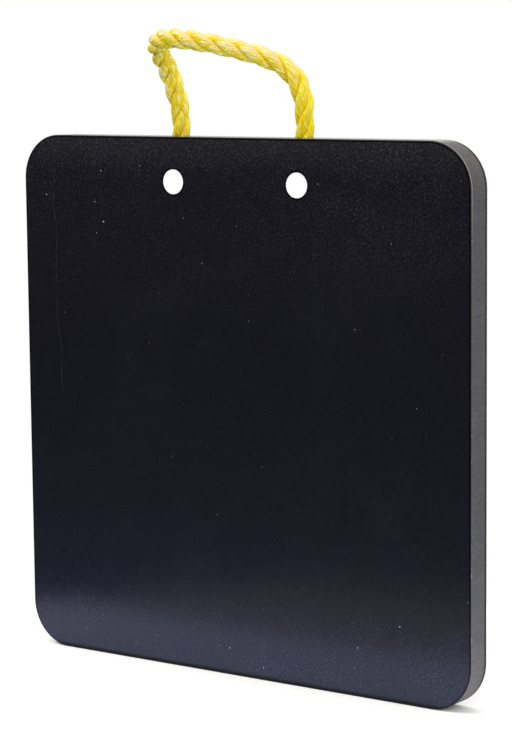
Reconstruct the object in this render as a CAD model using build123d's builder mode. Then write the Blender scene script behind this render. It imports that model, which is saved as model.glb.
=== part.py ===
"""Square outrigger pad with a rope handle.

A stabiliser leg stands on the flat face of a thick plastic slab to spread its load.
One yellow laid rope leaves two bores in the slab's top edge and forms the carrying loop.
Each rope end is melted into a stop head inside a cross hole, and plugs close that hole.

Frame: origin at the middle of the slab's lower edge, +X along the slab, +Y through its
thickness from the front face to the back face, +Z up towards the rope handle. Millimetres.
"""

from build123d import *
import math
import os

# Slab
SLAB_WIDTH = 457.2
SLAB_HEIGHT = 457.2
SLAB_THICKNESS = 25.4
CORNER_RADIUS = 38.1
EDGE_BREAK = 0.8

# Cross holes that hold the rope's ends, and their plugs
HANDLE_SPACING = 127.0
CROSS_HOLE_DROP = 38.1
CROSS_HOLE_RADIUS = 10.8
PLUG_THICKNESS = 3.2
PLUG_RECESS = 0.2
PLUG_EDGE_BREAK = 0.35

# Rope
ROPE_RADIUS = 8.0
ROPE_CLEARANCE = 0.25
RUNNING_GAP = 0.3
ARC_SHARE = 0.45

# Stop heads: the melted rope ends inside the cross holes
HEAD_CLEARANCE = 0.3
HEAD_SIDE_CLEARANCE = 0.6
HEAD_HALF_HEIGHT = 8.0
HEAD_SEAT = 4.0

# Places that follow from the sizes above
TOP_Z = SLAB_HEIGHT
CROSS_HOLE_Z = TOP_Z - CROSS_HOLE_DROP
SEAT_Z = CROSS_HOLE_Z + HEAD_SEAT
HINGE_Z = TOP_Z + ROPE_RADIUS + RUNNING_GAP
BORE_RADIUS = ROPE_RADIUS + ROPE_CLEARANCE
PLUG_INNER_Y = SLAB_THICKNESS / 2 - PLUG_RECESS - PLUG_THICKNESS
PRESSED_HALF_DEPTH = PLUG_INNER_Y - HEAD_CLEARANCE
SIDES = {"left": -HANDLE_SPACING / 2, "right": HANDLE_SPACING / 2}
BACK_FACE = Plane.XZ.offset(-SLAB_THICKNESS / 2)

os.makedirs("parts", exist_ok=True)

# The rope's route as points (x, y, z), each measured from the mouth of the nearer bore.
# The left half leans forwards as it rises and folds sharply at its top.
LEFT_ROUTE = [
    (0.0, 0.0, 22.0),
    (-3.0, -4.0, 40.0),
    (-5.0, -11.0, 57.5),
    (-5.0, -22.0, 70.5),
    (1.0, -34.0, 78.5),
    (15.0, -40.0, 81.5),
    (35.0, -38.0, 80.5),
]
RIGHT_ROUTE = [
    (-67.0, -28.0, 76.5),
    (-41.5, -15.5, 69.5),
    (-19.5, -5.0, 61.0),
    (-6.0, 0.0, 47.0),
    (0.0, 0.0, 28.0),
]


def rope_route():
    """Return the loop's points, from the left hinge point to the right one."""
    left_x, right_x = SIDES["left"], SIDES["right"]
    route = [Vector(left_x, 0, HINGE_Z)]
    route += [Vector(left_x + x, y, TOP_Z + z) for x, y, z in LEFT_ROUTE]
    route += [Vector(right_x + x, y, TOP_Z + z) for x, y, z in RIGHT_ROUTE]
    route.append(Vector(right_x, 0, HINGE_Z))
    return route


def arc_radii(route):
    """Return the radius of the arc at each inner point, as large as its runs allow."""
    radii = []
    for before, point, after in zip(route, route[1:], route[2:]):
        run_in, run_out = point - before, after - point
        half_turn = math.radians(run_in.get_angle(run_out)) / 2
        shorter = min(run_in.length, run_out.length)
        radii.append(ARC_SHARE * shorter / math.tan(half_turn))
    return radii


# Slab: a rounded square plate with two cross holes and two bores in its top edge
with BuildPart() as pad:
    with BuildSketch(BACK_FACE):
        with Locations((0, SLAB_HEIGHT / 2)):
            RectangleRounded(SLAB_WIDTH, SLAB_HEIGHT, CORNER_RADIUS)
    extrude(amount=SLAB_THICKNESS)
    chamfer(pad.edges().filter_by(Plane.XZ), length=EDGE_BREAK)
    with BuildSketch(BACK_FACE):
        with Locations(*[(x, CROSS_HOLE_Z) for x in SIDES.values()]):
            Circle(CROSS_HOLE_RADIUS)
    extrude(amount=SLAB_THICKNESS, mode=Mode.SUBTRACT)
    with BuildSketch(Plane.XY.offset(CROSS_HOLE_Z)):
        with Locations(*[(x, 0) for x in SIDES.values()]):
            Circle(BORE_RADIUS)
    extrude(amount=CROSS_HOLE_DROP, mode=Mode.SUBTRACT)
pad.part.label = "pad"
export_step(pad.part, "parts/pad.step")

# Rope loop: one swept tube whose two ball ends turn about the hinge line
loop_route = rope_route()
loop_radii = arc_radii(loop_route)
ball_align = (Align.CENTER, Align.CENTER, Align.MAX)
with BuildPart() as rope_loop:
    with BuildLine() as loop_path:
        FilletPolyline(*loop_route, radius=loop_radii)
    with BuildSketch(Plane.XY.offset(HINGE_Z)):
        with Locations((SIDES["left"], 0)):
            Circle(ROPE_RADIUS)
    sweep(path=loop_path.wire())
    with Locations(loop_route[0], loop_route[-1]):
        Sphere(ROPE_RADIUS, arc_size1=-90, arc_size2=0, align=ball_align)
rope_loop.part.label = "rope_loop"
export_step(rope_loop.part, "parts/rope_loop.step")

for side, x in SIDES.items():
    # Rope tail: the straight end of the rope in its bore, no deeper than the plugs leave room for
    with BuildPart() as rope_tail:
        with BuildSketch(Plane.XY.offset(SEAT_Z)):
            with Locations((x, 0)):
                Circle(ROPE_RADIUS)
                Rectangle(2 * ROPE_RADIUS, 2 * PRESSED_HALF_DEPTH, mode=Mode.INTERSECT)
        extrude(amount=TOP_Z - SEAT_Z)
    rope_tail.part.label = f"{side}_rope_tail"
    export_step(rope_tail.part, f"parts/{side}_rope_tail.step")

    # Stop head: the melted rope end, wider than the bore and pressed flat by the plugs
    with BuildPart() as stop_head:
        with BuildSketch(Plane.XZ):
            with Locations((x, CROSS_HOLE_Z)):
                Ellipse(CROSS_HOLE_RADIUS - HEAD_SIDE_CLEARANCE, HEAD_HALF_HEIGHT)
            split(bisect_by=Plane.YZ.offset(x))
        revolve(axis=Axis((x, 0, 0), (0, 0, 1)))
        split(bisect_by=Plane.XY.offset(SEAT_Z), keep=Keep.BOTTOM)
        split(bisect_by=Plane.XZ.offset(-PRESSED_HALF_DEPTH))
        split(bisect_by=Plane.XZ.offset(PRESSED_HALF_DEPTH), keep=Keep.BOTTOM)
    stop_head.part.label = f"{side}_stop_head"
    export_step(stop_head.part, f"parts/{side}_stop_head.step")

    # Plugs: one pressed into each end of the cross hole
    for face, outward in {"front": 1, "back": -1}.items():
        with BuildPart() as plug:
            with BuildSketch(Plane.XZ.offset(outward * PLUG_INNER_Y)):
                with Locations((x, CROSS_HOLE_Z)):
                    Circle(CROSS_HOLE_RADIUS)
            extrude(amount=outward * PLUG_THICKNESS)
            rims = plug.edges().filter_by(GeomType.CIRCLE).sort_by(Axis.Y, reverse=outward < 0)
            chamfer(rims[0], length=PLUG_EDGE_BREAK)
        plug.part.label = f"{face}_{side}_plug"
        export_step(plug.part, f"parts/{face}_{side}_plug.step")

loop_length = loop_path.wire().length
tube_volume = math.pi * ROPE_RADIUS**2 * (loop_length + 4 * ROPE_RADIUS / 3)
print("arc radii:", ", ".join(f"{radius:.1f}" for radius in loop_radii))
print(f"loop length {loop_length:.1f}, volume ratio {rope_loop.part.volume / tube_volume:.4f}")
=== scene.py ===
"""Looks for an outrigger pad: a black plastic slab carried by a loop of laid rope.

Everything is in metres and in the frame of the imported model. The origin is the middle of the
slab's lower edge, X runs along the slab, Y from its front to its back and Z up.
"""

import logging
import math
from dataclasses import dataclass
from enum import Enum
from typing import Any, Mapping, Sequence, Union

import bmesh
import bpy
from mathutils import Matrix, Vector


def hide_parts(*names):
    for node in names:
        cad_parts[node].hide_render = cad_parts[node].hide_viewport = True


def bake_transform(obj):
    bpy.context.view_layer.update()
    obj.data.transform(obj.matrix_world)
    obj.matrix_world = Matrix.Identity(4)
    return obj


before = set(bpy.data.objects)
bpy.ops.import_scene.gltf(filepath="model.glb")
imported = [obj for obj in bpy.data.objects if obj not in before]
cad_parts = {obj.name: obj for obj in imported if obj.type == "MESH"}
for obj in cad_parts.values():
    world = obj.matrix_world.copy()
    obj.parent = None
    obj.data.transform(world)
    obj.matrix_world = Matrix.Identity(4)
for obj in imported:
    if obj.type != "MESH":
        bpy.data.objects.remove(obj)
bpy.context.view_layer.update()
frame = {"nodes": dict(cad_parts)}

Colour = tuple[float, float, float]
Point = tuple[float, float, float]

logger = logging.getLogger("outrigger_pad")


class Lay(Enum):
    """Which way the strands of a rope wind."""

    RIGHT = 1
    LEFT = -1


class Side(Enum):
    """One of the two bores that the rope leaves the slab by."""

    LEFT = -1
    RIGHT = 1


def smooth_step(value: float, low: float, high: float) -> float:
    """Eases a number from 0 to 1.

    Args:
        value: the number.
        low: where the result is 0.
        high: where the result is 1, above low.

    Returns:
        The eased number.
    """
    share = min(max((value - low) / (high - low), 0.0), 1.0)
    return share * share * (3.0 - 2.0 * share)


class Signal:
    """A shader output that can be reckoned with like a number."""

    def __init__(self, tree: "ShaderTree", socket: bpy.types.NodeSocket) -> None:
        """Keeps the socket and the tree that it belongs to."""
        self.tree = tree
        self.socket = socket

    def _math(self, operation: str, first: "Value", second: "Value") -> "Signal":
        """Adds the Math node of one operation.

        Args:
            operation: the Math node's operation.
            first: what goes into its first socket.
            second: what goes into its second socket.

        Returns:
            The node's output.
        """
        return self.tree.node("ShaderNodeMath", {"operation": operation}, {0: first, 1: second})

    def __add__(self, other: "Value") -> "Signal":
        """Returns self + other."""
        return self._math("ADD", self, other)

    def __radd__(self, other: "Value") -> "Signal":
        """Returns other + self."""
        return self._math("ADD", other, self)

    def __sub__(self, other: "Value") -> "Signal":
        """Returns self - other."""
        return self._math("SUBTRACT", self, other)

    def __rsub__(self, other: "Value") -> "Signal":
        """Returns other - self."""
        return self._math("SUBTRACT", other, self)

    def __mul__(self, other: "Value") -> "Signal":
        """Returns self * other."""
        return self._math("MULTIPLY", self, other)

    def __rmul__(self, other: "Value") -> "Signal":
        """Returns other * self."""
        return self._math("MULTIPLY", other, self)

    def __abs__(self) -> "Signal":
        """Returns the size of self without its sign."""
        return self.tree.node("ShaderNodeMath", {"operation": "ABSOLUTE"}, {0: self})


Value = Union[Signal, float, int, Colour]


class ShaderTree:
    """The nodes of one material or of the world."""

    def __init__(self, nodes: bpy.types.NodeTree) -> None:
        """Empties a node tree and keeps it."""
        self.nodes = nodes
        self.nodes.nodes.clear()

    @staticmethod
    def find(sockets: Any, key: Union[str, int]) -> bpy.types.NodeSocket:
        """Finds a socket.

        Args:
            sockets: a node's inputs or outputs.
            key: the socket's place, its identifier or its name.

        Returns:
            The socket.
        """
        if isinstance(key, int):
            return sockets[key]
        named = [socket for socket in sockets if socket.identifier == key]
        return named[0] if named else sockets[key]

    def node(
        self,
        kind: str,
        settings: Mapping[str, Any] | None = None,
        sockets: Mapping[Union[str, int], Value] | None = None,
        output: Union[str, int] = 0,
    ) -> Signal:
        """Adds one node.

        Args:
            kind: the node's type.
            settings: its own settings, which are set first.
            sockets: the value or the link of each socket that isn't left as it is.
            output: the output that is returned.

        Returns:
            That output.
        """
        made = self.nodes.nodes.new(kind)
        for name, setting in (settings or {}).items():
            setattr(made, name, setting)
        for key, value in (sockets or {}).items():
            socket = self.find(made.inputs, key)
            if isinstance(value, Signal):
                self.nodes.links.new(value.socket, socket)
            elif isinstance(value, tuple) and len(socket.default_value) == 4:
                socket.default_value = (*value, 1.0)
            else:
                socket.default_value = value
        return Signal(self, self.find(made.outputs, output) if made.outputs else None)

    def place(self) -> Signal:
        """Returns the position on the piece, in metres."""
        return self.node("ShaderNodeTexCoord", output="Object")

    def attribute(self, name: str, output: str = "Fac") -> Signal:
        """Returns an attribute of the piece's mesh."""
        return self.node("ShaderNodeAttribute", {"attribute_name": name}, None, output)

    def split(self, vector: Signal) -> tuple[Signal, Signal, Signal]:
        """Splits a vector.

        Args:
            vector: the vector.

        Returns:
            Its X, Y and Z.
        """
        parts = self.node("ShaderNodeSeparateXYZ", None, {0: vector})
        outputs = parts.socket.node.outputs
        return Signal(self, outputs[0]), Signal(self, outputs[1]), Signal(self, outputs[2])

    def join(self, x: Value, y: Value, z: Value) -> Signal:
        """Returns the vector with those three parts."""
        return self.node("ShaderNodeCombineXYZ", None, {0: x, 1: y, 2: z})

    def stretch(self, vector: Signal, scale: Point) -> Signal:
        """Returns a vector with each of its parts multiplied."""
        return self.node("ShaderNodeVectorMath", {"operation": "MULTIPLY"}, {0: vector, 1: scale})

    def length(self, vector: Signal) -> Signal:
        """Returns the length of a vector."""
        return self.node("ShaderNodeVectorMath", {"operation": "LENGTH"}, {0: vector}, "Value")

    def noise(self, vector: Signal, scale: float, detail: float = 2.0, rough: float = 0.5) -> Signal:
        """Adds soft noise.

        Args:
            vector: where the noise is read.
            scale: how many bumps it has to a unit of length.
            detail: how many finer layers it has.
            rough: how strong the finer layers are.

        Returns:
            The noise, from 0 to 1 with 0.5 in the middle.
        """
        sockets = {"Vector": vector, "Scale": scale, "Detail": detail, "Roughness": rough}
        return self.node("ShaderNodeTexNoise", {"noise_dimensions": "3D"}, sockets)

    def ease(self, value: Signal, low: float, high: float) -> Signal:
        """Eases a value from 0 to 1.

        Args:
            value: the value.
            low: where the result is 0.
            high: where the result is 1, which may be below low.

        Returns:
            The eased value.
        """
        settings = {"interpolation_type": "SMOOTHSTEP", "clamp": True}
        sockets = {0: value, 1: low, 2: high, 3: 0.0, 4: 1.0}
        if low > high:
            sockets = {0: value, 1: high, 2: low, 3: 1.0, 4: 0.0}
        return self.node("ShaderNodeMapRange", settings, sockets)

    def mix(self, share: Value, first: Value, second: Value) -> Signal:
        """Mixes two colours.

        Args:
            share: how much there is of the second, from 0 to 1.
            first: one colour.
            second: the other colour.

        Returns:
            The mixed colour.
        """
        settings = {"data_type": "RGBA", "blend_type": "MIX", "clamp_factor": True}
        sockets = {"Factor_Float": share, "A_Color": first, "B_Color": second}
        return self.node("ShaderNodeMix", settings, sockets, "Result_Color")

    def specks(self, plane: Signal, scale: float, size: float, share: float) -> Signal:
        """Scatters small round specks over a surface.

        Args:
            plane: the surface's own two directions, in metres.
            scale: how many cells there are to a metre.
            size: the radius of the largest speck, as a share of a cell.
            share: the share of the cells that hold a speck.

        Returns:
            1 on a speck and 0 elsewhere.
        """
        settings = {"voronoi_dimensions": "2D", "feature": "F1"}
        sockets = {"Vector": plane, "Scale": scale, "Randomness": 1.0}
        away = self.node("ShaderNodeTexVoronoi", settings, sockets)
        colour = Signal(self, away.socket.node.outputs["Color"])
        chance, bigness, _ = self.split(colour)
        inside = self.ease(away - bigness * size, 0.0, -0.35 * size)
        return inside * self.ease(chance, share, share - 0.02)


class Material:
    """A material whose surface is one Principled shader."""

    def __init__(self, name: str) -> None:
        """Makes the material and empties its nodes."""
        self.data = bpy.data.materials.new(name)
        self.data.use_nodes = True
        self.tree = ShaderTree(self.data.node_tree)

    def finish(self, sockets: Mapping[str, Value]) -> bpy.types.Material:
        """Adds the surface shader and the output.

        Args:
            sockets: the values and links of the surface shader's sockets.

        Returns:
            The material.
        """
        surface = self.tree.node("ShaderNodeBsdfPrincipled", None, sockets)
        self.tree.node("ShaderNodeOutputMaterial", None, {"Surface": surface})
        return self.data

    def bump(self, height: Signal, depth: float, strength: float = 1.0) -> Signal:
        """Adds relief.

        Args:
            height: the relief, from 0 to 1.
            depth: how far 1 stands out, in metres.
            strength: how much of it shows.

        Returns:
            The bent normal.
        """
        sockets = {"Height": height, "Distance": depth, "Strength": strength}
        return self.tree.node("ShaderNodeBump", None, sockets)


@dataclass(frozen=True)
class SlabPlastic:
    """Black polyethylene: a finely grained face, a rim painted dark as shade and greyer sawn edges.

    Attributes:
        face: colour of the pressed faces.
        worn: colour of the faces where they are rubbed.
        dust: colour of the dust that lies in the grain.
        grit: colour of the grit near the lower edge.
        rim: colour of the chamfer, of the band just inside the outline and of the rings round the cross
            holes, all painted dark as shade, and of the dark flecks in the face's grain.
        sawn: colour of the sawn edges.
        warm: colour of the sawn edges where grime has got into them, and of the painted light towards
            their lower and upper ends.
        top_dust_and_highlight: colour of the dust on the top edge, which also stands in for its grazing
            highlight as painted light.
        grooved: colour of the sawn edges in the saw's grooves.
        front_edge_highlight: colour of the painted highlight along the sawn edges beside the front
            face.
        far_edge_shade: colour of the painted shade along the sawn edges beside the back face.
        pit: colour of the pits in the sawn edges.
        crumb: colour of the crumbs on the sawn edges.
        half_side: half of the slab's side.
        corner: radius of the slab's corners.
        half_thickness: half of the slab's thickness.
        chamfer: width of the chamfer.
        hole_x: how far the cross holes are from the slab's middle.
        hole_z: height of the cross holes.
        ring_radius: radius of the burnished ring round each cross hole.
        scratch_x: where the long scratch is.
        specks: place along the slab, height and radius of each large speck of dust.
    """

    face: Colour = (0.0084, 0.0079, 0.0120)
    worn: Colour = (0.0125, 0.0125, 0.0170)
    dust: Colour = (0.30, 0.30, 0.31)
    grit: Colour = (0.36, 0.24, 0.17)
    rim: Colour = (0.0022, 0.0021, 0.0026)
    sawn: Colour = (0.062, 0.060, 0.062)
    warm: Colour = (0.115, 0.106, 0.100)
    top_dust_and_highlight: Colour = (0.20, 0.19, 0.17)
    grooved: Colour = (0.034, 0.032, 0.033)
    front_edge_highlight: Colour = (0.34, 0.33, 0.33)
    far_edge_shade: Colour = (0.012, 0.008, 0.006)
    pit: Colour = (0.030, 0.028, 0.029)
    crumb: Colour = (0.16, 0.155, 0.15)
    half_side: float = 0.2286
    corner: float = 0.0381
    half_thickness: float = 0.0127
    chamfer: float = 0.0008
    hole_x: float = 0.0635
    hole_z: float = 0.4191
    # ring_radius: radius of the ring painted dark as shade round each cross hole.
    ring_radius: float = 0.0120
    scratch_x: float = -0.1945
    specks: tuple[tuple[float, float, float], ...] = (
        (-0.142, 0.427, 0.0008),
        (-0.099, 0.432, 0.0006),
        (-0.140, 0.383, 0.0010),
        (-0.204, 0.405, 0.0007),
        (-0.149, 0.400, 0.0006),
        (-0.148, 0.373, 0.0006),
        (-0.053, 0.389, 0.0005),
        (-0.034, 0.351, 0.0006),
        (0.162, 0.064, 0.0007),
        (0.121, 0.041, 0.0006),
    )

    def material(self) -> bpy.types.Material:
        """Makes the material.

        Returns:
            The material, which reads the position on the slab.
        """
        made = Material("slab_plastic")
        tree = made.tree
        place = tree.place()
        x, y, z = tree.split(place)
        depth = abs(y)
        edge = self.half_thickness - self.chamfer
        on_face = tree.ease(depth, self.half_thickness - 0.00022, self.half_thickness - 0.00008)
        on_sawn = tree.ease(depth, edge + 0.00004, edge - 0.00004)
        outward = self._outward(tree, x, z)
        plane = tree.join(x + y * 40.0, z, 0.0)

        grain = tree.noise(place, 820.0, 3.0, 0.7)
        cloud = tree.noise(place, 7.0, 3.0, 0.55)
        patch = tree.noise(place, 34.0, 4.0, 0.6)
        marks = self._scratches(tree, x, y, z, place)
        face_colour = self._face_colour(tree, place, plane, grain, cloud, patch, marks)
        sawn_colour, cutter = self._sawn_colour(tree, place, y, z, cloud)

        # Painted shade: a dark band just inside the slab's outline.
        painted_edge_shade = tree.ease(outward, self.corner - 0.0022, self.corner - 0.0018)
        # Painted shade: a dark ring round each cross hole.
        painted_edge_shade = painted_edge_shade + self._beside_holes(tree, x, z)
        face_colour = tree.mix(painted_edge_shade * 0.9, face_colour, self.rim)
        # Painted shade: off the face, the chamfer takes the dark rim colour.
        colour = tree.mix(on_face, self.rim, face_colour)
        colour = tree.mix(on_sawn, colour, sawn_colour)
        rough_face = 0.16 + 0.16 * (grain - 0.5) + 0.14 * (patch - 0.5)
        rough_face = rough_face + 0.10 * (cloud - 0.5) + 0.25 * marks
        rubbed_top = on_sawn * tree.ease(z, 0.4555, 0.4568)
        rough = 0.5 + on_face * (rough_face - 0.5) + on_sawn * 0.02 - rubbed_top * 0.27
        height = on_face * (grain * 0.55 + patch * 0.30 - marks * 0.35) + on_sawn * cutter
        return made.finish(
            {
                "Base Color": colour,
                "Roughness": rough,
                "Specular IOR Level": 0.11,
                "Normal": made.bump(height, 0.00022, 0.55),
            }
        )

    def _beside_holes(self, tree: ShaderTree, x: Signal, z: Signal) -> Signal:
        """Marks the ring painted dark as shade round each cross hole.

        Args:
            tree: the material's nodes.
            x: position along the slab.
            z: height.

        Returns:
            1 on the ring and 0 beyond it.
        """
        away = tree.length(tree.join(abs(x) - self.hole_x, z - self.hole_z, 0.0))
        return tree.ease(away, self.ring_radius + 0.0002, self.ring_radius - 0.0002)

    def _outward(self, tree: ShaderTree, x: Signal, z: Signal) -> Signal:
        """Measures how near a point is to the slab's outline.

        Args:
            tree: the material's nodes.
            x: position along the slab.
            z: height.

        Returns:
            The corner's radius on the outline, and less inside it.
        """
        straight = self.half_side - self.corner
        across, up = (
            tree.node("ShaderNodeMath", {"operation": "MAXIMUM"}, {0: abs(away) - straight, 1: 0.0})
            for away in (x, z - self.half_side)
        )
        return tree.length(tree.join(across, up, 0.0))

    def _face_colour(
        self,
        tree: ShaderTree,
        place: Signal,
        plane: Signal,
        grain: Signal,
        cloud: Signal,
        patch: Signal,
        marks: Signal,
    ) -> Signal:
        """Colours the faces.

        Args:
            tree: the material's nodes.
            place: the position on the slab.
            plane: the face's own two directions.
            grain: the finest noise.
            cloud: the broadest noise.
            patch: noise of a size between them.
            marks: the scratches.

        Returns:
            The colour.
        """
        x, y, z = tree.split(place)
        rubbed = tree.ease(cloud + 0.5 * (patch - 0.5), 0.48, 0.68)
        colour = tree.mix(rubbed * 0.25, self.face, self.worn)
        colour = tree.mix(tree.ease(grain, 0.52, 0.36) * 0.55, colour, self.rim)
        powder = tree.ease(tree.noise(place, 560.0, 3.0, 0.75), 0.50, 0.66)
        upper = tree.ease(z, 0.26, 0.45)
        lower = tree.ease(z, 0.12, 0.0)
        dusty = tree.ease(patch * 0.6 + cloud * 0.4, 0.44, 0.62)
        film_above = 0.070 * upper * (0.55 + 0.45 * dusty)
        film_below = 0.055 * lower * (0.4 + 0.6 * dusty)
        film = powder * (0.010 + film_above + film_below)
        haze = tree.ease(z, 0.422, 0.457) * (0.020 + 0.050 * powder)
        colour = tree.mix(film + haze, colour, self.dust)
        colour = tree.mix(tree.specks(plane, 85.0, 0.050, 0.03), colour, self.dust)
        colour = tree.mix(tree.specks(plane, 260.0, 0.070, 0.02) * 0.4, colour, self.dust)
        colour = tree.mix(self._settled(tree, x, y, z), colour, self.dust)
        grit = tree.specks(plane, 210.0, 0.090, 0.035) * tree.ease(z, 0.11, 0.01)
        colour = tree.mix(grit * 0.5, colour, self.grit)
        return tree.mix(marks * 0.034, colour, self.dust)

    def _settled(self, tree: ShaderTree, x: Signal, y: Signal, z: Signal) -> Signal:
        """Lays a few larger specks of dust on the front, where they have settled.

        Args:
            tree: the material's nodes.
            x: position along the slab.
            y: position through the slab.
            z: height.

        Returns:
            1 on a speck and 0 elsewhere.
        """
        total: Signal | float = 0.0
        for across, height, size in self.specks:
            away = tree.length(tree.join(x - across, z - height, 0.0))
            total = tree.ease(away, size, 0.4 * size) + total
        return total * tree.ease(y, 0.0, -0.001)

    def _scratches(self, tree: ShaderTree, x: Signal, y: Signal, z: Signal, place: Signal) -> Signal:
        """Draws one long wavering scratch near the left edge, and faint short ones all over.

        Args:
            tree: the material's nodes.
            x: position along the slab.
            y: position through the slab.
            z: height.
            place: the position on the slab.

        Returns:
            1 on a scratch and 0 elsewhere.
        """
        waver = tree.noise(tree.stretch(place, (0.0, 0.0, 1.0)), 13.0, 2.0)
        line = self.scratch_x + 0.030 * (waver - 0.5) + 0.010 * tree.ease(z, 0.27, 0.20)
        broken = tree.ease(tree.noise(place, 90.0, 3.0, 0.7), 0.40, 0.56)
        span = tree.ease(z, 0.20, 0.25) * tree.ease(z, 0.452, 0.44) * tree.ease(y, 0.0, -0.001)
        long_scratch = tree.ease(abs(x - line), 0.00055, 0.00015) * span * (0.35 + 0.65 * broken)
        drawn = tree.noise(tree.stretch(place, (26.0, 26.0, 3.2)), 1.0, 1.0)
        swept = tree.noise(tree.stretch(place, (5.0, 9.0, 31.0)), 1.0, 1.0)
        gate = tree.ease(tree.noise(place, 16.0, 2.0), 0.56, 0.64)
        upright = tree.ease(abs(drawn - 0.47), 0.0042, 0.0010) * gate
        level_gate = tree.ease(tree.noise(place, 21.0, 2.0), 0.60, 0.68)
        level = tree.ease(abs(swept - 0.53), 0.0036, 0.0009) * level_gate
        return long_scratch + 0.22 * upright + 0.18 * level

    def _sawn_colour(
        self, tree: ShaderTree, place: Signal, y: Signal, z: Signal, cloud: Signal
    ) -> tuple[Signal, Signal]:
        """Colours the sawn edges.

        Args:
            tree: the material's nodes.
            place: the position on the slab.
            y: position through the slab.
            z: height.
            cloud: the broadest noise.

        Returns:
            The colour, and the height of the cutter's marks.
        """
        lines = tree.noise(tree.stretch(place, (1.0, 0.035, 1.0)), 620.0, 2.0, 0.6)
        waves = tree.noise(tree.stretch(place, (1.0, 0.06, 1.0)), 150.0, 2.0, 0.5)
        smudge = tree.noise(place, 38.0, 4.0, 0.65)
        # Painted light: the sawn edges are made lighter towards their lower and upper ends; the smudges
        # are grime.
        corners = tree.ease(z, 0.405, 0.45) * 0.45 + tree.ease(z, 0.16, 0.0) * 0.62
        dirt_and_painted_shading = tree.ease(smudge + 0.35 * (cloud - 0.5), 0.47, 0.74) * 0.30 + corners
        colour = tree.mix(dirt_and_painted_shading, self.sawn, self.warm)
        colour = tree.mix(tree.ease(lines, 0.50, 0.72) * 0.22, colour, self.warm)
        colour = tree.mix(tree.ease(waves, 0.52, 0.34) * 0.14, colour, self.grooved)
        nicks = tree.ease(tree.noise(place, 260.0, 2.0, 0.6), 0.56, 0.66)
        # Painted highlight: a light line along the sawn edges beside the front face, stronger towards
        # the top and broken by nicks.
        front_edge_highlight = tree.ease(y, -0.0106, -0.0110) * (0.75 * tree.ease(z, 0.36, 0.43) + 0.18 + 0.5 * nicks)
        colour = tree.mix(tree.ease(front_edge_highlight, 0.0, 1.0) * 0.70, colour, self.front_edge_highlight)
        # Painted shade: a dark line along the sawn edges beside the back face.
        colour = tree.mix(tree.ease(y, 0.0084, 0.0092) * 0.95, colour, self.far_edge_shade)
        # Pale dust on the top edge, partly a painted highlight.
        settled = tree.ease(z, 0.4540, 0.4570) * (0.55 + 0.35 * smudge)
        colour = tree.mix(settled, colour, self.top_dust_and_highlight)
        pitted = tree.noise(place, 760.0, 2.0, 0.7)
        colour = tree.mix(tree.ease(pitted, 0.50, 0.34) * 0.50, colour, self.pit)
        colour = tree.mix(tree.ease(pitted, 0.54, 0.70) * 0.30, colour, self.crumb)
        return colour, lines * 0.55 + waves * 0.45


@dataclass(frozen=True)
class PlugPlastic:
    """White moulded plastic with faint turning rings and a dark rim, partly grime and partly painted
    shade.

    Attributes:
        white: colour of the clean plastic.
        grey: colour of the marks on it.
        dirt_and_painted_shading: colour of the dark ring at its rim, partly grime and partly painted
            shade.
        centre_x: how far the plugs are from the slab's middle.
        centre_z: height of the plugs.
        radius: radius of the plugs.
    """

    white: Colour = (0.985, 0.985, 0.98)
    grey: Colour = (0.90, 0.895, 0.88)
    dirt_and_painted_shading: Colour = (0.09, 0.08, 0.07)
    centre_x: float = 0.0635
    centre_z: float = 0.4191
    radius: float = 0.0108

    def material(self) -> bpy.types.Material:
        """Makes the material.

        Returns:
            The material, which is the same on all four plugs.
        """
        made = Material("plug_plastic")
        tree = made.tree
        place = tree.place()
        x, _, z = tree.split(place)
        across = abs(x) - self.centre_x
        up = z - self.centre_z
        away = tree.length(tree.join(across, up, 0.0))
        smudge = tree.noise(place, 240.0, 4.0, 0.6)
        fine = tree.noise(place, 2200.0, 2.0)
        colour = tree.mix(tree.ease(smudge, 0.50, 0.72) * 0.35, self.white, self.grey)
        nick = tree.ease(tree.noise(place, 900.0, 1.0), 0.68, 0.74) * 0.25
        colour = tree.mix(nick, colour, self.grey)
        # Painted shade, partly grime: a dark ring at the plug's rim.
        rim = tree.ease(away + 0.0006 * (smudge - 0.5), self.radius - 0.00055, self.radius - 0.0001)
        colour = tree.mix(rim * 0.9, colour, self.dirt_and_painted_shading)
        rings = tree.node("ShaderNodeMath", {"operation": "SINE"}, {0: away * 9000.0})
        gate = tree.ease(away, 0.0013, 0.0010)
        height = 0.18 * rings + 0.30 * fine + 0.25 * smudge + 0.5 * gate
        return made.finish(
            {
                "Base Color": colour,
                "Roughness": 0.34 + 0.22 * (smudge - 0.4) + 0.2 * rim,
                "Specular IOR Level": 0.5,
                "Normal": made.bump(height, 0.00006, 0.6),
            }
        )


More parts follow.
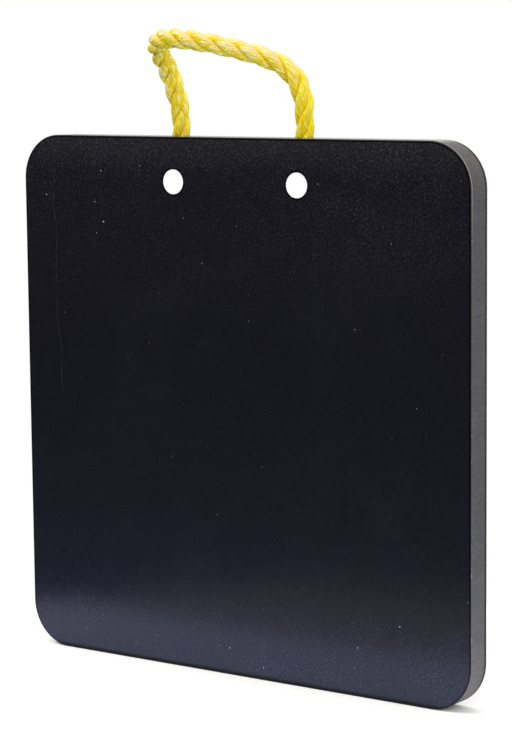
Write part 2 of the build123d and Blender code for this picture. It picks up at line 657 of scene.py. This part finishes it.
@dataclass(frozen=True)
class RopeFibre:
    """Yellow polypropylene fibre, deep in the strands' grooves and pale on their crowns, partly as
    painted highlights, with painted top light on its upper side.

    Attributes:
        deep: colour at the bottom of the grooves.
        amber: colour of the painted shade on the fibres that lie a little deeper.
        gold: the fibre's own colour.
        lemon: colour of the strands' flanks.
        cream: colour of the pale fibres on the crowns, partly painted highlights.
        top_lit_peach: colour painted on the side of the rope that faces up, as light from above.
        bore_dark: colour that the rope is darkened to where it goes into the slab.
    """

    deep: Colour = (0.88, 0.64, 0.001)
    amber: Colour = (0.60, 0.39, 0.001)
    gold: Colour = (0.75, 0.58, 0.001)
    lemon: Colour = (0.78, 0.70, 0.001)
    cream: Colour = (0.86, 0.83, 0.58)
    top_lit_peach: Colour = (0.68, 0.49, 0.29)
    bore_dark: Colour = (0.20, 0.13, 0.03)

    def material(self) -> bpy.types.Material:
        """Makes the material.

        Returns:
            The material, which reads the attributes that CarryingRope keeps on its mesh.
        """
        made = Material("rope_fibre")
        tree = made.tree
        fibre = tree.attribute("fibre", "Vector")
        crown = tree.attribute("crown")
        inside = tree.attribute("inside")
        # How far the surface faces up, which the painted top light follows.
        top_light = tree.ease(tree.attribute("upward"), 0.05, 0.85)
        x, _, _ = tree.split(tree.place())
        streak = tree.noise(tree.stretch(fibre, (1.0, 1.0, 0.15)), 0.52, 1.0, 0.5)
        thread = tree.noise(tree.stretch(fibre, (1.0, 1.0, 0.09)), 1.35, 2.0, 0.6)
        fine = tree.noise(tree.stretch(fibre, (1.0, 1.0, 0.05)), 4.2, 2.0, 0.6)
        tone = tree.noise(fibre, 0.06, 2.0)
        # Less of the pale and peach colour on the right leg.
        pale_share = 0.35 + 0.65 * tree.ease(x, 0.078, 0.035)
        body = tree.mix(tree.ease(0.5 * streak + 0.5 * tone, 0.42, 0.58), self.gold, self.lemon)
        # Painted shade: darker amber streaks along the fibres.
        shadow = tree.ease(0.6 * thread + 0.4 * fine, 0.49, 0.39) * 0.85
        body = tree.mix(shadow, body, self.amber)
        # Painted highlights, partly pale fibres: pale streaks, more of them on the crowns and on the
        # side that faces up.
        lit = 0.25 * streak + 0.40 * thread + 0.35 * fine + 0.10 * (tone - 0.5) + 0.040 * top_light
        pale = tree.ease(lit, 0.525, 0.560) * pale_share * (0.45 + 0.55 * tree.ease(crown, 0.15, 0.60))
        # Painted top light: the side that faces up is mixed towards peach.
        body = tree.mix(0.62 * top_light * pale_share, body, self.top_lit_peach)
        body = tree.mix(pale * (0.78 + 0.22 * top_light), body, tree.mix(top_light, self.cream, self.top_lit_peach))
        groove = tree.ease(crown + 0.30 * (thread - 0.5), 0.34, 0.06)
        body = tree.mix(groove * 0.60, body, self.deep)
        # Darker where the rope goes into the slab.
        near_bore = tree.ease(inside + 0.004 * (streak - 0.5), 0.0300, 0.0265)
        body = tree.mix(near_bore * 0.45, body, self.bore_dark)
        height = thread * 0.50 + streak * 0.25 + fine * 0.25
        return made.finish(
            {
                "Base Color": body,
                "Roughness": 0.50 + 0.25 * (thread - 0.5),
                "Specular IOR Level": 0.15,
                "Sheen Weight": 0.02,
                "Sheen Roughness": 0.45,
                "Sheen Tint": (1.0, 0.93, 0.70),
                "Normal": made.bump(height, 0.0011, 0.8),
            }
        )


@dataclass(frozen=True)
class MeltedRope:
    """The rope's fibre melted to a hard amber lump.

    Attributes:
        amber: colour of the clear parts.
        burnt: colour of the scorched parts.
    """

    amber: Colour = (0.36, 0.17, 0.010)
    burnt: Colour = (0.045, 0.020, 0.006)

    def material(self) -> bpy.types.Material:
        """Makes the material.

        Returns:
            The material, which reads the position on the lump.
        """
        made = Material("melted_rope")
        tree = made.tree
        place = tree.place()
        swirl = tree.noise(place, 230.0, 4.0, 0.6)
        scorch = tree.ease(swirl, 0.50, 0.70)
        drip = tree.noise(tree.stretch(place, (1.0, 1.0, 0.35)), 420.0, 2.0)
        return made.finish(
            {
                "Base Color": tree.mix(scorch, self.amber, self.burnt),
                "Roughness": 0.20 + 0.30 * swirl,
                "Specular IOR Level": 0.5,
                "Normal": made.bump(drip * 0.6 + swirl * 0.4, 0.0004, 0.7),
            }
        )


@dataclass(frozen=True)
class FloorPaint:
    """Plain pale paint.

    Attributes:
        pale: the paint's colour.
        shade: its colour where it is a little darker.
    """

    pale: Colour = (0.93, 0.93, 0.93)
    shade: Colour = (0.905, 0.905, 0.91)

    def material(self) -> bpy.types.Material:
        """Makes the material.

        Returns:
            The material, which reads the position on the floor.
        """
        made = Material("floor_paint")
        tree = made.tree
        cloud = tree.noise(tree.place(), 3.0, 2.0)
        return made.finish(
            {
                "Base Color": tree.mix(cloud, self.pale, self.shade),
                "Roughness": 0.85,
                "Specular IOR Level": 0.2,
            }
        )


class RopeLine:
    """The centreline of a rope, with a frame that turns as little as it can along it."""

    def __init__(self, route: Sequence[Vector]) -> None:
        """Draws the smooth line of a route.

        Args:
            route: the route's points, which are the control points of a NURBS spline.
        """
        self.points = self._read_spline(route)
        self.lengths = [0.0]
        for before, after in zip(self.points, self.points[1:]):
            self.lengths.append(self.lengths[-1] + (after - before).length)
        self.frames = self._frames()

    @property
    def length(self) -> float:
        """Length of the line."""
        return self.lengths[-1]

    @staticmethod
    def _read_spline(route: Sequence[Vector]) -> list[Vector]:
        """Reads points along the route's NURBS spline.

        Args:
            route: the spline's control points.

        Returns:
            Points along it, close together.
        """
        curve = bpy.data.curves.new("rope_route", "CURVE")
        curve.dimensions = "3D"
        curve.resolution_u = 24
        spline = curve.splines.new("NURBS")
        spline.points.add(len(route) - 1)
        for control, point in zip(spline.points, route):
            control.co = (*point, 1.0)
        spline.order_u = 3
        spline.use_endpoint_u = True
        holder = bpy.data.objects.new("rope_route", curve)
        drawn = bpy.data.meshes.new_from_object(holder)
        points = [vertex.co.copy() for vertex in drawn.vertices]
        bpy.data.meshes.remove(drawn)
        bpy.data.objects.remove(holder)
        bpy.data.curves.remove(curve)
        return [p for i, p in enumerate(points) if i == 0 or (p - points[i - 1]).length > 1e-7]

    def _frames(self) -> list[Matrix]:
        """Carries a frame along the line without twisting it.

        Returns:
            For each point, the matrix whose columns are side, up and along.
        """
        count = len(self.points)
        along = [
            (self.points[min(i + 1, count - 1)] - self.points[max(i - 1, 0)]).normalized()
            for i in range(count)
        ]
        side = Vector((1.0, 0.0, 0.0))
        frames = []
        for i, direction in enumerate(along):
            if i > 0:
                side = along[i - 1].rotation_difference(direction) @ side
            side = (side - direction * side.dot(direction)).normalized()
            frames.append(Matrix((side, direction.cross(side), direction)).transposed())
        return frames

    def at(self, length: float) -> tuple[Vector, Matrix]:
        """Finds a place along the line.

        Args:
            length: how far along it.

        Returns:
            The point there, and the frame there.
        """
        length = min(max(length, 0.0), self.length)
        index = 0
        high = len(self.lengths) - 1
        while high - index > 1:
            middle = (index + high) // 2
            if self.lengths[middle] <= length:
                index = middle
            else:
                high = middle
        share = (length - self.lengths[index]) / (self.lengths[index + 1] - self.lengths[index])
        point = self.points[index].lerp(self.points[index + 1], share)
        first = self.frames[index].to_quaternion()
        second = self.frames[index + 1].to_quaternion()
        return point, first.slerp(second, share).to_matrix()


@dataclass
class CarryingRope:
    """The laid rope: three strands that leave one bore, loop over the slab and enter the other.

    Attributes:
        half_spacing: how far each bore is from the slab's middle.
        top: height of the slab's upper edge.
        hinge: height at which the loop starts to bend.
        tail_end: height of the rope's ends inside the slab.
        radius: radius of the rope.
        strand_place: how far a strand's middle is from the rope's, as a share of the radius.
        strand_breadth: half of a strand's width, as a share of the radius.
        yarn_height: how far the yarns stand out from the hollows between them.
        lay_length: length in which a strand goes once round the rope.
        extra_turn: turns by which the rope is wound tighter round its sharpest fold.
        lay: which way the strands wind.
        strands: how many strands there are.
        yarns: how many yarns show on a strand.
        start_turn: angle by which the strands are turned at the rope's start, in degrees.
        bend_spare: how far the bending goes on above the hinge's own span.
        profile_points: points round one strand.
        rings: steps along the rope.
    """

    half_spacing: float = 0.0635
    top: float = 0.4572
    hinge: float = 0.4655
    tail_end: float = 0.430
    radius: float = 0.008
    strand_place: float = 0.515
    strand_breadth: float = 0.595
    yarn_height: float = 0.00036
    lay_length: float = 0.060
    extra_turn: float = 0.55
    lay: Lay = Lay.RIGHT
    strands: int = 3
    yarns: int = 11
    start_turn: float = 66.0
    bend_spare: float = 0.0014
    profile_points: int = 64
    rings: int = 450

    def route(self) -> list[Vector]:
        """Lists the route's points, each measured from the mouth of the nearer bore.

        Returns:
            The points from the left tail's end to the right tail's end.
        """
        left = Vector((Side.LEFT.value * self.half_spacing, 0.0, self.top))
        right = Vector((Side.RIGHT.value * self.half_spacing, 0.0, self.top))
        left_run = [
            (0.0, 0.0, self.tail_end - self.top),
            (0.0, 0.0, self.hinge - self.top),
            (0.0, 0.0, 0.022),
            (-0.003, -0.004, 0.040),
            (-0.005, -0.011, 0.0575),
            (-0.005, -0.022, 0.0705),
            (0.001, -0.034, 0.0792),
            (0.015, -0.040, 0.0824),
            (0.035, -0.038, 0.0812),
        ]
        right_run = [
            (-0.067, -0.028, 0.0765),
            (-0.0415, -0.0155, 0.0695),
            (-0.0195, -0.005, 0.061),
            (-0.006, 0.0, 0.047),
            (0.0, 0.0, 0.028),
            (0.0, 0.0, self.hinge - self.top),
            (0.0, 0.0, self.tail_end - self.top),
        ]
        return [left + Vector(p) for p in left_run] + [right + Vector(p) for p in right_run]

    def _strand_outline(self, mesh: bmesh.types.BMesh) -> list[Any]:
        """Draws the outline of one strand, pressed flat where it meets its neighbours.

        Args:
            mesh: the mesh that the outline is added to.

        Returns:
            The outline's vertices and edges.
        """
        ring = bmesh.ops.create_circle(mesh, cap_ends=False, segments=self.profile_points, radius=1.0)
        half = math.pi / self.strands
        centre = self.strand_place * self.radius
        for vertex in ring["verts"]:
            turn = math.atan2(vertex.co.y, vertex.co.x)
            turn -= 0.40 * math.sin(turn)
            across = centre + (self.radius - centre) * math.cos(turn)
            aside = self.strand_breadth * self.radius * math.sin(turn)
            clear = across * math.sin(half) - abs(aside) * math.cos(half) - 0.00004
            if clear < 0.0:
                across -= clear * math.sin(half)
                aside += math.copysign(clear * math.cos(half), aside)
            vertex.co = Vector((across, aside, 0.0))
        edges = {edge for vertex in ring["verts"] for edge in vertex.link_edges}
        return list(ring["verts"]) + list(edges)

    def _thickness(self, length: float, whole: float) -> float:
        """Says how thick the rope is, as a share of its radius.

        Args:
            length: how far along the rope.
            whole: length of the whole rope.

        Returns:
            The share: tight in the bores, fuller on the legs and a little less on the span.
        """
        bore = self.top - self.tail_end
        outside = min(length, whole - length) - bore
        open_up = smooth_step(outside, 0.004, 0.044)
        span = min(max((outside - 0.055) / 0.060, 0.0), 1.0)
        return 0.965 + 0.100 * open_up - 0.030 * span

    def _wound(self, length: float) -> float:
        """Says how far the strands have turned beyond their even lay.

        Args:
            length: how far along the rope.

        Returns:
            The extra turn, in radians.
        """
        return self.lay.value * 2.0 * math.pi * self.extra_turn * smooth_step(length, 0.060, 0.180)

    def build(self) -> bpy.types.Object:
        """Builds the rope straight, then bends it along its line.

        Returns:
            The rope's object, whose mesh has the attributes "fibre", "crown", "upward" and "inside".
        """
        self.line = RopeLine(self.route())
        whole = self.line.length
        turn = self.lay.value * 2.0 * math.pi * whole / self.lay_length
        mesh = bmesh.new()
        strand_layer = mesh.verts.layers.int.new("strand")
        outline = self._strand_outline(mesh)
        bmesh.ops.spin(
            mesh,
            geom=outline,
            cent=(0.0, 0.0, 0.0),
            axis=(0.0, 0.0, 1.0),
            dvec=(0.0, 0.0, whole / self.rings),
            angle=turn,
            steps=self.rings,
            use_merge=False,
            use_duplicate=False,
        )
        rims = [edge for edge in mesh.edges if edge.is_boundary]
        bmesh.ops.holes_fill(mesh, edges=rims, sides=0)
        first = list(mesh.verts) + list(mesh.edges) + list(mesh.faces)
        for number in range(1, self.strands):
            copied = bmesh.ops.duplicate(mesh, geom=first)
            vertices = [item for item in copied["geom"] if isinstance(item, bmesh.types.BMVert)]
            for vertex in vertices:
                vertex[strand_layer] = number
            around = Matrix.Rotation(2.0 * math.pi * number / self.strands, 3, "Z")
            bmesh.ops.rotate(mesh, verts=vertices, cent=(0.0, 0.0, 0.0), matrix=around)
        bmesh.ops.recalc_face_normals(mesh, faces=list(mesh.faces))
        for face in mesh.faces:
            face.smooth = True
        inside = [min(vertex.co.z, whole - vertex.co.z) for vertex in mesh.verts]
        fibres, crowns, upwards = self._bend(mesh, strand_layer, turn / whole)
        data = bpy.data.meshes.new("rope")
        mesh.to_mesh(data)
        mesh.free()
        self._keep(data, "fibre", "FLOAT_VECTOR", "vector", fibres)
        self._keep(data, "crown", "FLOAT", "value", crowns)
        self._keep(data, "upward", "FLOAT", "value", upwards)
        self._keep(data, "inside", "FLOAT", "value", inside)
        self.piece = bpy.data.objects.new("rope", data)
        bpy.context.scene.collection.objects.link(self.piece)
        return self.piece

    @staticmethod
    def _keep(data: bpy.types.Mesh, name: str, kind: str, field: str, values: list[float]) -> None:
        """Stores one value or vector for each vertex.

        Args:
            data: the mesh.
            name: the attribute's name.
            kind: its type.
            field: the name under which its values are set.
            values: the values, one after the other.
        """
        data.attributes.new(name, kind, "POINT").data.foreach_set(field, values)

    def _bend(
        self, mesh: bmesh.types.BMesh, strand_layer: Any, turn_rate: float
    ) -> tuple[list[float], list[float], list[float]]:
        """Raises the yarns, swells the rope and bends it along its line.

        Args:
            mesh: the straight rope, whose axis is Z.
            strand_layer: the layer that holds each vertex's strand.
            turn_rate: how fast the strands turn round the rope, in radians to a metre.

        Returns:
            For each vertex, its place on the strand's surface, how near it is to the crown, and how
            far it faces up.
        """
        fibres: list[float] = []
        crowns: list[float] = []
        upwards: list[float] = []
        places: dict[int, tuple[Vector, Matrix]] = {}
        whole = self.line.length
        centre = self.strand_place * self.radius
        strand_radius = self.radius - centre
        for vertex in mesh.verts:
            length = vertex.co.z
            number = vertex[strand_layer]
            flat = Vector((vertex.co.x, vertex.co.y))
            back = -(turn_rate * length + 2.0 * math.pi * number / self.strands)
            local = Matrix.Rotation(back, 2) @ flat
            angle = math.atan2(local.y, local.x - centre)
            extra = self._wound(length)
            yarn = angle + 2.0 * (turn_rate * length + extra) + 1.7 * number
            ridge = 0.5 + 0.5 * math.cos(self.yarns * yarn)
            wander = 0.012 * math.sin(95.0 * length + 2.1 * number)
            wander += 0.008 * math.sin(231.0 * length + number)
            outward = Vector((local.x - centre, local.y)).normalized()
            facing = max(0.0, math.cos(angle))
            raised = local + outward * self.yarn_height * (ridge - 0.5) * (0.3 + 0.7 * facing)
            raised *= self._thickness(length, whole) * (1.0 + wander * facing)
            wound = Matrix.Rotation(extra + math.radians(self.start_turn) - back, 2)
            around = wound @ raised
            faced = wound @ outward
            key = round(length * 1e6)
            if key not in places:
                places[key] = self.line.at(length)
            point, turned = places[key]
            vertex.co = point + turned @ Vector((around.x, around.y, 0.0))
            fibres += [
                strand_radius * 1000.0 * math.cos(yarn),
                strand_radius * 1000.0 * math.sin(yarn),
                length * 1000.0 + 400.0 * number,
            ]
            crowns.append(min(max((local.length / self.radius - 0.72) / 0.28, 0.0), 1.0))
            upwards.append((turned @ Vector((faced.x, faced.y, 0.0))).z)
        return fibres, crowns, upwards

    def dress(self, material: bpy.types.Material) -> None:
        """Gives the rope its finish, hides the CAD model's rope pieces and bakes its transform into its
        mesh.

        Args:
            material: the rope's finish.
        """
        self.piece.data.materials.append(material)
        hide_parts("rope_loop", "left_rope_tail", "right_rope_tail")
        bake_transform(self.piece)


@dataclass
class Slab:
    """The slab with its plugs and the rope's stop heads, which the CAD model shapes."""

    nodes: Mapping[str, bpy.types.Object]

    def dress(
        self, plastic: bpy.types.Material, plug: bpy.types.Material, melted: bpy.types.Material
    ) -> None:
        """Gives each CAD piece its finish.

        Args:
            plastic: finish of the slab.
            plug: finish of the four plugs.
            melted: finish of the two stop heads.
        """
        finishes = {"pad": plastic}
        for name in ("front_left_plug", "front_right_plug", "back_left_plug", "back_right_plug"):
            finishes[name] = plug
        for name in ("left_stop_head", "right_stop_head"):
            finishes[name] = melted
        for name, material in finishes.items():
            for place in self.nodes[name].material_slots:
                place.material = material
            logger.info("dressed %s", name)


@dataclass(frozen=True)
class Panel:
    """One soft light panel.

    Attributes:
        name: its name.
        place: where its middle is.
        target: the point that it faces.
        size: its width and height.
        power: its power in watts.
        colour: its colour.
    """

    name: str
    place: Point
    target: Point
    size: tuple[float, float]
    power: float
    colour: Colour

    def hang(self) -> bpy.types.Object:
        """Hangs the panel.

        Returns:
            The light.
        """
        light = bpy.data.lights.new(self.name, "AREA")
        light.shape = "RECTANGLE"
        light.size, light.size_y = self.size
        light.energy = self.power
        light.color = self.colour
        panel = bpy.data.objects.new(self.name, light)
        panel.location = self.place
        facing = Vector(self.target) - Vector(self.place)
        panel.rotation_euler = facing.to_track_quat("-Z", "Y").to_euler()
        panel.visible_camera = False
        bpy.context.scene.collection.objects.link(panel)
        return panel


PANELS = (
    Panel("top_panel", (0.1, 0.2, 1.9), (0.0, 0.0, 0.4), (1.5, 1.5), 12.0, (1.0, 0.96, 0.92)),
    Panel("fill_panel", (1.3, -2.0, 1.3), (0.0, 0.0, 0.4), (1.0, 0.8), 13.5, (1.0, 0.99, 0.96)),
    Panel("side_panel", (2.1, -0.5, 0.9), (0.0, 0.0, 0.3), (1.1, 1.3), 7.4, (1.0, 0.99, 0.98)),
    Panel("left_panel", (-1.5, -1.3, 1.9), (0.0, 0.0, 0.4), (0.9, 0.9), 48.0, (1.0, 0.99, 0.96)),
    Panel("low_panel", (0.15, -0.085, 0.001), (0.15, -0.085, 1.0), (1.0, 0.13), 1.44, (0.5, 0.6, 1.0)),
)


@dataclass
class Studio:
    """Floor, light and camera.

    Attributes:
        floor_radius: radius of the floor.
        dark_way: the direction in which the room is dark, where the slab's face looks.
        camera_place: where the camera stands.
        azimuth: how far round the slab it stands, in degrees from the front.
        elevation: how far down it looks, in degrees.
        roll: how far it leans, in degrees.
        lens: its focal length, in millimetres on a 36 mm film.
    """

    floor_radius: float = 0.34
    dark_way: Point = (-0.58, -0.80, -0.13)
    camera_place: Point = (1.1976, -1.6458, 0.5294)
    azimuth: float = 35.77
    elevation: float = 7.44
    roll: float = -0.59
    lens: float = 119.3

    def build_floor(self, material: bpy.types.Material) -> bpy.types.Object:
        """Lays the floor.

        Args:
            material: the floor's finish.

        Returns:
            The floor.
        """
        mesh = bmesh.new()
        bmesh.ops.create_circle(mesh, cap_ends=True, segments=128, radius=self.floor_radius)
        bmesh.ops.translate(mesh, verts=list(mesh.verts), vec=(0.0, 0.0, -0.0003))
        data = bpy.data.meshes.new("floor")
        mesh.to_mesh(data)
        mesh.free()
        data.materials.append(material)
        floor = bpy.data.objects.new("floor", data)
        bpy.context.scene.collection.objects.link(floor)
        return floor

    def light(self) -> None:
        """Hangs the panels and paints the room."""
        for panel in PANELS:
            panel.hang()
        world = bpy.data.worlds.new("studio")
        world.use_nodes = True
        bpy.context.scene.world = world
        tree = ShaderTree(world.node_tree)
        x, y, z = tree.split(tree.node("ShaderNodeTexCoord", output="Generated"))
        toward_dark = y * self.dark_way[1] + x * self.dark_way[0] + z * self.dark_way[2]
        unlit = tree.ease(toward_dark, 0.15, 0.72)
        overhead = tree.ease(z, 0.15, 0.95)
        room = (0.92 + 0.35 * overhead) * (1.0 - 0.97 * unlit)
        seen = tree.node("ShaderNodeLightPath", output="Is Camera Ray")
        strength = seen * 1.0 + (1.0 - seen) * room
        glow = tree.node("ShaderNodeBackground", None, {"Color": (1.0, 1.0, 1.0), "Strength": strength})
        tree.node("ShaderNodeOutputWorld", None, {"Surface": glow})

    def set_camera(self) -> bpy.types.Object:
        """Sets up the camera.

        Returns:
            The camera, which becomes the scene's own.
        """
        turn = math.radians(self.azimuth)
        tilt = math.radians(self.elevation)
        lean = math.radians(self.roll)
        flat = math.cos(tilt)
        forward = Vector((-math.sin(turn) * flat, math.cos(turn) * flat, -math.sin(tilt)))
        level = Vector((math.cos(turn), math.sin(turn), 0.0))
        upright = level.cross(forward)
        right = level * math.cos(lean) + upright * math.sin(lean)
        upward = right.cross(forward)
        lens = bpy.data.cameras.new("camera")
        lens.lens = self.lens
        lens.sensor_width = 36.0
        lens.clip_start = 0.05
        lens.clip_end = 60.0
        camera = bpy.data.objects.new("camera", lens)
        facing = Matrix((right, upward, -forward)).transposed()
        camera.matrix_world = Matrix.Translation(Vector(self.camera_place)) @ facing.to_4x4()
        bpy.context.scene.collection.objects.link(camera)
        bpy.context.scene.camera = camera
        return camera


def main() -> None:
    """Builds and dresses everything in order."""
    logging.basicConfig(level=logging.INFO, format="%(name)s: %(message)s")
    bpy.context.scene.view_settings.view_transform = "Standard"
    studio = Studio()
    studio.set_camera()
    rope = CarryingRope()
    piece = rope.build()
    rope.dress(RopeFibre().material())
    faces = len(piece.data.polygons)
    logger.info("built %s, %.1f mm long, %d faces", piece.name, rope.line.length * 1000.0, faces)
    slab = Slab(frame["nodes"])
    slab.dress(SlabPlastic().material(), PlugPlastic().material(), MeltedRope().material())
    studio.build_floor(FloorPaint().material())
    studio.light()


if __name__ == "__main__":
    main()
